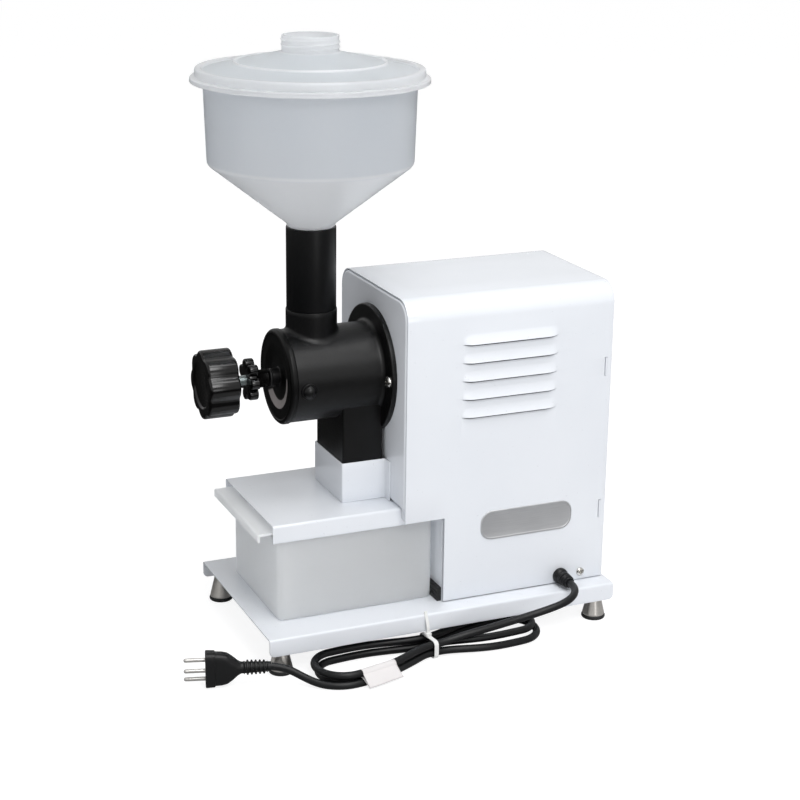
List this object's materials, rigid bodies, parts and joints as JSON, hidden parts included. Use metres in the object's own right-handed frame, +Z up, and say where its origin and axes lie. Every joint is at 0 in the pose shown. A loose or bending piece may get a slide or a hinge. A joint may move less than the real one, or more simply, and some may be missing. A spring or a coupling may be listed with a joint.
{
  "type": "coffee grinder",
  "caption": "Bench coffee grinder: white sheet-metal motor housing, black grinding head with adjusting knob, translucent hopper and drawer, tied mains lead.",
  "frame": {"origin": "on the surface it stands on, under the middle of the machine without its lead", "axes": "+Z up, -Y to the front with the knob and drawer, +X to the side with the lead"},
  "size_m": [0.2727, 0.4468, 0.5824],
  "materials": {
    "white_paint": "white gloss powder coat on folded sheet steel",
    "stainless": "turned and brushed",
    "black_rubber": "matt moulded rubber",
    "zinc_steel": "bright zinc plated",
    "chrome": "polished nickel plate",
    "plate_metal": "plain brushed plate, blank",
    "cast_aluminium": "as cast, machined faces",
    "motor_paint": "dark grey enamel",
    "bearing_steel": "ground steel",
    "lamination": "stacked electrical steel",
    "copper_wire": "varnished copper winding",
    "burr_steel": "hardened, cut teeth",
    "black_casting": "satin black paint on cast iron",
    "black_tube": "satin black tube",
    "black_knob": "black moulded phenolic",
    "can_plastic": "white plastic can",
    "milky_plastic": "translucent natural polypropylene",
    "cord_pvc": "black flexible vinyl",
    "white_nylon": "natural nylon",
    "white_paper": "plain coated paper, blank"
  },
  "bodies": {
    "machine": {"base_plate": "white_paint", "feet": "stainless", "foot_pads": "black_rubber", "foot_bolts": "zinc_steel", "weld_nuts": "zinc_steel", "cover_tabs": "white_paint", "support_bracket": "white_paint", "bracket_bolts": "zinc_steel", "bracket_nuts": "zinc_steel", "drawer_stop": "black_rubber", "shelf": "white_paint", "chute_collar": "white_paint", "front_panel": "white_paint", "housing_cover": "white_paint", "rear_panel": "white_paint", "cover_screws": "chrome", "blank_plate": "plate_metal", "front_end_bell": "cast_aluminium", "motor_shell": "motor_paint", "rear_end_bell": "cast_aluminium", "stator_core": "lamination", "stator_windings": "copper_wire", "motor_bolts": "zinc_steel", "front_bearing": "bearing_steel", "rear_bearing": "bearing_steel", "run_capacitor": "can_plastic", "capacitor_clip": "zinc_steel", "terminal_block": "black_knob", "grinder_body": "black_casting", "flange_screws": "chrome", "feed_tube": "black_tube", "front_cover": "black_casting", "guide_screw": "black_casting", "switch_body": "black_knob", "cord_gland": "cord_pvc", "cord_lead": "cord_pvc", "cord_hank": "cord_pvc", "cord_tail": "cord_pvc", "cable_tie": "white_nylon", "cord_tag": "white_paper", "plug_body": "cord_pvc", "plug_pins": "chrome"},
    "rotor": {"rotor_core": "lamination", "motor_shaft": "bearing_steel", "cooling_fan": "black_knob", "feed_auger": "bearing_steel", "burr_holder": "bearing_steel", "rotating_burr": "burr_steel"},
    "burr_slide": {"burr_carrier": "bearing_steel", "fixed_burr": "burr_steel"},
    "adjuster": {"adjusting_stud": "zinc_steel", "stud_clip": "zinc_steel", "adjusting_knob": "black_knob"},
    "lock_ring": {"lock_washer": "black_rubber"},
    "lock": {"lock_knob": "black_knob"},
    "hopper": {"hopper": "milky_plastic"},
    "lid": {"hopper_lid": "milky_plastic"},
    "drawer": {"drawer": "milky_plastic"},
    "rocker": {"switch_rocker": "black_knob"}
  },
  "joints": [
    {"name": "rotor_spin", "type": "hinge", "parent": "machine", "child": "rotor", "pos_m": [0, 0, 0.262], "axis": [0, 1, 0], "continuous": true},
    {"name": "burr_travel", "type": "slide", "parent": "machine", "child": "burr_slide", "axis": [0, 1, 0], "range_m": [-0.00225, 0.00075]},
    {"name": "knob_turn", "type": "hinge", "parent": "burr_slide", "child": "adjuster", "pos_m": [0, 0, 0.262], "axis": [0, 1, 0], "range_deg": [-540.2, 180.2]},
    {"name": "lock_travel", "type": "slide", "parent": "machine", "child": "lock_ring", "axis": [0, 1, 0], "range_m": [-0.0015, 0]},
    {"name": "lock_turn", "type": "hinge", "parent": "lock_ring", "child": "lock", "pos_m": [0, 0, 0.262], "axis": [0, 1, 0], "range_deg": [-360.2, 0]},
    {"name": "hopper_lift", "type": "slide", "parent": "machine", "child": "hopper", "axis": [0, 0, 1], "range_m": [0, 0.06]},
    {"name": "lid_lift", "type": "slide", "parent": "hopper", "child": "lid", "axis": [0, 0, 1], "range_m": [0, 0.06]},
    {"name": "drawer_slide", "type": "slide", "parent": "machine", "child": "drawer", "axis": [0, -1, 0], "range_m": [0, 0.165]},
    {"name": "rocker_tilt", "type": "hinge", "parent": "machine", "child": "rocker", "pos_m": [-0.081, 0.06, 0.095], "axis": [0, 1, 0], "range_deg": [0, 20]}
  ],
  "couplings": [
    {"joint": "knob_turn", "follows": "burr_travel", "rad_per_m": 4188.8},
    {"joint": "lock_turn", "follows": "lock_travel", "rad_per_m": 4188.8}
  ]
}
